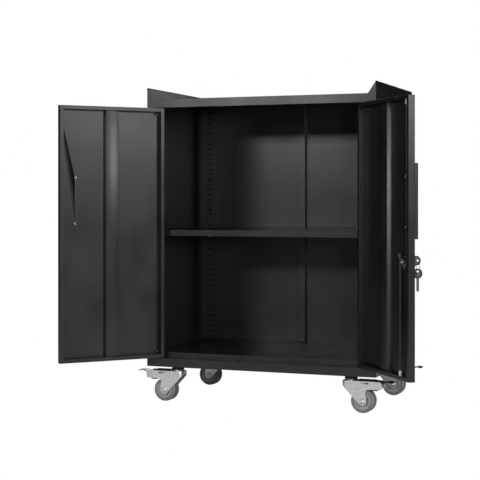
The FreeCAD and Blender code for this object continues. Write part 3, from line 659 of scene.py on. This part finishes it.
@dataclass
class LockSet:
    """The lock, its cam and rods, and the keys."""

    head_radius: float = 12.8
    head_half: float = 1.75
    hole_radius: float = 3.6
    hole_off: float = 5.0
    head_out: float = 26.0 * MM
    spare_out: float = 31.0 * MM
    spare_drop: float = 33.0 * MM
    ring_radius: float = 11.0
    ring_wire: float = 0.62
    ring_drop: float = 13.4 * MM
    ring_turn: float = 705.0
    ring_steps: int = 110
    rim_width: float = 2.4 * MM
    panel_wall: float = 0.35 * MM
    panel_depth: float = 0.45 * MM
    head_edge: float = 0.5 * MM

    def build(self, shop: Workshop) -> None:
        """Dress the lock and its keys, mould the key heads and wind the split ring."""
        shop.dress("lock_housing", CHROME, 0.4)
        shop.dress("lock_nut", ZINC, 0.3)
        shop.dress("lock_core", CHROME, 0.2)
        shop.dress("lock_cam", ZINC, 0.2)
        shop.dress("cam_nut", ZINC, 0.2)
        shop.dress("key", KEY_STEEL, 0.3)
        shop.dress("spare_key", KEY_STEEL, 0.3)
        shop.dress("rod_upper", ROD_COAT)
        shop.dress("rod_lower", ROD_COAT)
        shop.dress("rod_guides", NYLON, 0.5)
        along = Vector(shop.joint("key_bunch_swing")["axis"])
        out = -Vector(shop.joint("lock_turn")["axis"])
        up = Vector((0.0, 0.0, 1.0))
        lock = Vector(shop.joint("lock_turn")["pos_m"])
        self.mould_heads(shop, out, up, lock)
        self.wind_ring(shop, along, up)

    def mould_heads(self, shop: Workshop, out: Vector, up: Vector, lock: Vector) -> None:
        """Mould the plastic heads of both keys.

        Args:
            shop: The workshop with the loaded frame.
            out: The way out of the door.
            up: The way up.
            lock: The middle of the lock.
        """
        bpy.ops.object.select_all(action="DESELECT")
        bpy.ops.mesh.primitive_cylinder_add(
            vertices=64, radius=self.head_radius * MM, depth=2 * self.head_half * MM
        )
        head = bpy.context.object
        head.name = "key_head"
        bpy.ops.object.mode_set(mode="EDIT")
        # Each flat face has a rim and a thumb panel sunk inside it.
        pick(head, lambda at, way: abs(way.z) > 0.9)
        bpy.ops.mesh.inset(thickness=self.rim_width, depth=0.0, use_individual=True)
        bpy.ops.mesh.inset(
            thickness=self.panel_wall, depth=-self.panel_depth, use_individual=True
        )
        bpy.ops.object.mode_set(mode="OBJECT")
        edge = head.modifiers.new("edge", "BEVEL")
        edge.width = self.head_edge
        edge.segments = 3
        edge.limit_method = "ANGLE"
        edge.angle_limit = math.radians(60)
        apply_modifiers(head)
        bpy.ops.object.select_all(action="DESELECT")
        bpy.ops.mesh.primitive_cylinder_add(
            vertices=40,
            radius=self.hole_radius * MM,
            depth=0.02,
            location=(self.hole_off * MM, 0.0, 0.0),
        )
        drill = bpy.context.object
        hole = head.modifiers.new("hole", "BOOLEAN")
        hole.operation = "DIFFERENCE"
        hole.solver = "EXACT"
        hole.object = drill
        apply_modifiers(head)
        bpy.data.objects.remove(drill)
        spare = copy_piece(head, "spare_key_head")
        # Across the head is Z as modelled, and its hole lies towards X.
        settle(head, basis(out, up, out.cross(up), lock + out * self.head_out))
        hung = lock + out * self.spare_out - up * self.spare_drop
        settle(spare, basis(up, -out, up.cross(-out), hung))
        for piece, body in ((head, "lock"), (spare, "key_bunch")):
            paint(piece, shop.material(KEY_PLASTIC), 40.0)
            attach(piece, body)
            LOG.info("%s moulded", piece.name)

    def wind_ring(self, shop: Workshop, along: Vector, up: Vector) -> None:
        """Wind the split ring, two close turns of wire.

        Args:
            shop: The workshop with the loaded frame.
            along: The way along the door.
            up: The way up.
        """
        bpy.ops.object.select_all(action="DESELECT")
        bpy.ops.mesh.primitive_circle_add(
            vertices=12,
            radius=self.ring_wire * MM,
            fill_type="NGON",
            location=(self.ring_radius * MM, 0.0, 0.0),
            rotation=(math.radians(90), 0.0, 0.0),
        )
        ring = bpy.context.object
        ring.name = "split_ring"
        settle(ring, Matrix.Identity(4))
        wind = ring.modifiers.new("wind", "SCREW")
        wind.axis = "Z"
        wind.angle = math.radians(self.ring_turn)
        wind.screw_offset = 2.6 * self.ring_wire * MM
        wind.steps = wind.render_steps = self.ring_steps
        wind.use_merge_vertices = False
        apply_modifiers(ring)
        bpy.ops.object.mode_set(mode="EDIT")
        bpy.ops.mesh.select_all(action="SELECT")
        bpy.ops.transform.translate(value=(0.0, 0.0, -1.3 * self.ring_wire * MM))
        bpy.ops.mesh.fill_holes(sides=0)
        bpy.ops.mesh.normals_make_consistent(inside=False)
        bpy.ops.object.mode_set(mode="OBJECT")
        pivot = Vector(shop.joint("key_bunch_swing")["pos_m"])
        across = along.cross(up)
        settle(ring, basis(along, up, across, pivot - up * self.ring_drop))
        paint(ring, shop.material(NICKEL), 60.0)
        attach(ring, "key_bunch")
        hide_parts("key_ring")
        LOG.info("%s wound", ring.name)


@dataclass
class Castor:
    """One braked swivel castor."""

    corner: Corner

    def build(self, shop: Workshop, tyre: bpy.types.Object, core: bpy.types.Object) -> None:
        """Dress the castor and put its turned pieces on.

        Args:
            shop: The workshop with the loaded frame.
            tyre: The tyre to copy, round the Z axis.
            core: The wheel core to copy, round the Z axis.
        """
        name = self.corner.value
        shop.dress(f"castor_fork_{name}", ZINC, 0.5)
        shop.dress(f"castor_pins_{name}", ZINC, 0.6)
        shop.dress(f"castor_pedal_{name}", PEDAL_COAT, 0.6)
        hub = Vector(shop.joint(f"castor_wheel_{name}")["pos_m"])
        across = (Vector((1, 0, 0)), Vector((0, 0, -1)), Vector((0, 1, 0)))
        for model, kind, finish, slot in (
            (tyre, "tyre", TYRE, "grey_rubber_tyre"),
            (core, "core", WHEEL_CORE, "grey_wheel_plastic"),
        ):
            piece = settle(copy_piece(model, f"wheel_{kind}_{name}"), basis(*across, hub))
            paint(piece, shop.material(finish), 50.0)
            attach(piece, f"wheel_{name}")
            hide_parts(f"castor_{kind}_{name}")
        self.cap_axle(shop, hub)

    def cap_axle(self, shop: Workshop, hub: Vector) -> None:
        """Put a pressed cap with two rings on each end of the axle.

        Args:
            shop: The workshop with the loaded frame.
            hub: The middle of the wheel.
        """
        name = self.corner.value
        profile = [
            (0.0, -0.2),
            (6.7, -0.2),
            (6.7, 0.3),
            (6.2, 0.6),
            (5.5, 0.6),
            (5.0, 0.2),
            (3.4, 0.2),
            (2.6, 0.7),
            (0.0, 0.9),
        ]
        low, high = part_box(f"castor_pins_{name}")
        for side, end in (("near", low.y), ("far", high.y)):
            way = Vector((0, -1, 0)) if side == "near" else Vector((0, 1, 0))
            cap = turn_profile(f"axle_cap_{side}_{name}", profile, 40)
            middle = Vector((hub.x, end, hub.z))
            settle(cap, basis(Vector((1, 0, 0)), way.cross(Vector((1, 0, 0))), way, middle))
            paint(cap, shop.material(ZINC), 30.0)
            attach(cap, f"swivel_{name}")
        LOG.info("castor %s built", name)


@dataclass
class WheelMould:
    """The shapes that all four wheels share, in millimetres."""

    radius: float = 33.5
    half: float = 16.5
    rim: float = 24.0

    def tyre(self) -> bpy.types.Object:
        """Turn the tyre, with a bead groove on each side and a mould line round the tread."""
        side = [
            (self.rim, -self.half + 0.5),
            (self.rim + 1.6, -self.half + 0.1),
            (self.rim + 2.0, -self.half + 0.7),
            (self.rim + 2.5, -self.half + 0.1),
            (self.radius - 4.0, -self.half),
            (self.radius - 2.2, -self.half + 0.5),
            (self.radius - 0.9, -self.half + 1.7),
            (self.radius - 0.2, -self.half + 3.4),
            (self.radius, -self.half + 5.0),
            (self.radius, -0.6),
            (self.radius - 0.35, -0.2),
        ]
        other = [(radius, -height) for radius, height in reversed(side)]
        return turn_profile("tyre_model", side + other, 96)

    def core(self) -> bpy.types.Object:
        """Turn the core, with a hub, a sunk web and a broad flat rim."""
        side = [
            (4.1, -self.half),
            (8.4, -self.half),
            (9.2, -self.half + 0.7),
            (9.8, -self.half + 6.0),
            (15.0, -self.half + 6.0),
            (16.0, -self.half + 5.2),
            (16.7, -self.half + 2.0),
            (17.6, -self.half + 1.2),
            (self.rim - 1.2, -self.half + 1.2),
            (self.rim - 0.05, -self.half + 0.9),
        ]
        other = [(radius, -height) for radius, height in reversed(side)]
        return turn_profile("core_model", side + other, 96)


@dataclass(frozen=True)
class Softbox:
    """A rectangular studio light."""

    name: str
    place: tuple[float, float, float]
    aim: tuple[float, float, float]
    size: tuple[float, float]
    power: float

    def hang(self) -> None:
        """Hang the light and aim it."""
        bpy.ops.object.light_add(type="AREA", location=self.place)
        lamp = bpy.context.object
        lamp.name = self.name
        lamp.data.shape = "RECTANGLE"
        lamp.data.size, lamp.data.size_y = self.size
        lamp.data.energy = self.power
        lamp.visible_camera = False
        way = Vector(self.aim) - Vector(self.place)
        lamp.rotation_euler = way.to_track_quat("-Z", "Y").to_euler()


@dataclass
class Studio:
    """Floor, lights and camera."""

    lens: float = 96.146
    shift_y: float = -0.0898
    eye: tuple[float, float, float] = (1.24816, -3.59784, 0.59524)
    yaw: float = 21.014
    boxes: tuple[Softbox, ...] = (
        Softbox("right_softbox", (3.4, -1.58, 1.58), (0.0, -0.1, 0.55), (0.7, 0.7), 40),
        Softbox("front_softbox", (-1.26, -3.66, 1.52), (0.0, -0.1, 0.55), (0.9, 0.3), 34),
        Softbox("key_light", (1.72, -3.58, 0.87), (0.0, -0.1, 0.55), (0.3, 0.5), 31),
        Softbox("fill_light", (1.97, -3.23, 1.77), (0.0, -0.1, 0.55), (1.0, 0.8), 18),
        Softbox("rear_softbox", (-1.4, 3.4, 1.9), (0.0, 0.2, 0.5), (1.6, 1.2), 45.0),
    )
    # Painted light: the floor's glow is a pool of light round the chest, cut out as painted shadow
    # in a box under the chest.
    floor_glow: float = 0.5
    floor_side: float = 60.0
    painted_shadow_centre: tuple[float, float, float] = (0.0, 0.12, 0.0)
    painted_shadow_half: tuple[float, float, float] = (0.36, 0.33, 0.0)
    glow_rise: float = 0.12
    glow_fall: tuple[float, float] = (0.35, 1.3)

    def build(self) -> None:
        """Set up the studio."""
        self.lay_floor()
        for softbox in self.boxes:
            softbox.hang()
        self.set_air()
        self.set_camera()
        bpy.context.scene.view_settings.view_transform = "Standard"

    def lay_floor(self) -> None:
        """Lay a wide white floor that glows like a light table, a painted pool of light round the
        chest with painted shadow under it.
        """
        bpy.ops.mesh.primitive_plane_add(size=self.floor_side)
        floor = bpy.context.object
        floor.name = "studio_floor"
        material = bpy.data.materials.new("white_floor_painted_glow")
        material.use_nodes = True
        tree = material.node_tree
        tree.nodes.clear()
        seen = add_node(tree, "ShaderNodeLightPath").outputs["Is Camera Ray"]
        sheet = add_node(tree, "ShaderNodeBsdfDiffuse", {"Color": linear("#c8c8c8")})
        # Painted shadow: the floor's glow is cut out under the chest and shines round it as a
        # painted pool of light, out to where the glow has fallen.
        place = add_node(tree, "ShaderNodeTexCoord").outputs["Object"]
        centred = add_node(
            tree, "ShaderNodeVectorMath", {0: place, 1: self.painted_shadow_centre}, operation="SUBTRACT"
        )
        folded = add_node(
            tree, "ShaderNodeVectorMath", {0: centred.outputs[0]}, operation="ABSOLUTE"
        )
        beyond = add_node(
            tree,
            "ShaderNodeVectorMath",
            {0: folded.outputs[0], 1: self.painted_shadow_half},
            operation="SUBTRACT",
        )
        outside = add_node(
            tree,
            "ShaderNodeVectorMath",
            {0: beyond.outputs[0], 1: (0.0, 0.0, 0.0)},
            operation="MAXIMUM",
        )
        far = add_node(
            tree, "ShaderNodeVectorMath", {0: outside.outputs[0]}, operation="LENGTH"
        )
        rise = add_node(
            tree,
            "ShaderNodeMapRange",
            {"Value": far.outputs["Value"], "From Min": 0.0, "From Max": self.glow_rise},
            interpolation_type="SMOOTHSTEP",
        )
        fall = add_node(
            tree,
            "ShaderNodeMapRange",
            {
                "Value": far.outputs["Value"],
                "From Min": self.glow_fall[0],
                "From Max": self.glow_fall[1],
                "To Min": self.floor_glow,
                "To Max": 0.0,
            },
            interpolation_type="SMOOTHSTEP",
        )
        strength = add_node(
            tree,
            "ShaderNodeMath",
            {0: rise.outputs["Result"], 1: fall.outputs["Result"]},
            operation="MULTIPLY",
        )
        lit = add_node(
            tree, "ShaderNodeEmission", {"Color": (1, 1, 1, 1), "Strength": strength.outputs[0]}
        )
        both = add_node(tree, "ShaderNodeAddShader", {0: sheet.outputs[0], 1: lit.outputs[0]})
        white = add_node(tree, "ShaderNodeEmission", {"Color": (1, 1, 1, 1), "Strength": 1.0})
        mixed = add_node(
            tree, "ShaderNodeMixShader", {0: seen, 1: both.outputs[0], 2: white.outputs[0]}
        )
        add_node(tree, "ShaderNodeOutputMaterial", {"Surface": mixed.outputs[0]})
        floor.data.materials.append(material)

    def set_air(self) -> None:
        """Fill the studio with a little light and a white backdrop."""
        world = bpy.data.worlds.new("studio_air")
        world.use_nodes = True
        tree = world.node_tree
        tree.nodes.clear()
        seen = add_node(tree, "ShaderNodeLightPath").outputs["Is Camera Ray"]
        dim = add_node(tree, "ShaderNodeBackground", {"Color": linear("#ffffff"), "Strength": 0.01})
        white = add_node(
            tree, "ShaderNodeBackground", {"Color": linear("#ffffff"), "Strength": 1.0}
        )
        mixed = add_node(
            tree, "ShaderNodeMixShader", {0: seen, 1: dim.outputs[0], 2: white.outputs[0]}
        )
        add_node(tree, "ShaderNodeOutputWorld", {"Surface": mixed.outputs[0]})
        bpy.context.scene.world = world

    def set_camera(self) -> None:
        """Stand the camera."""
        bpy.ops.object.camera_add(
            location=self.eye, rotation=(math.radians(90), 0.0, math.radians(self.yaw))
        )
        camera = bpy.context.object
        camera.name = "studio_camera"
        camera.data.lens = self.lens
        camera.data.shift_y = self.shift_y
        bpy.context.scene.camera = camera


def main() -> None:
    """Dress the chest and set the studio."""
    logging.basicConfig(level=logging.INFO, format="%(name)s: %(message)s")
    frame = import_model()
    shop = Workshop(frame)
    Cabinet().build(shop)
    Door("left", 1).build(shop)
    Door("right", -1).build(shop)
    LockSet().build(shop)
    mould = WheelMould()
    tyre, core = mould.tyre(), mould.core()
    for corner in Corner:
        Castor(corner).build(shop, tyre, core)
    for model in (tyre, core):
        bpy.data.objects.remove(model)
    Studio().build()


if __name__ == "__main__":
    main()
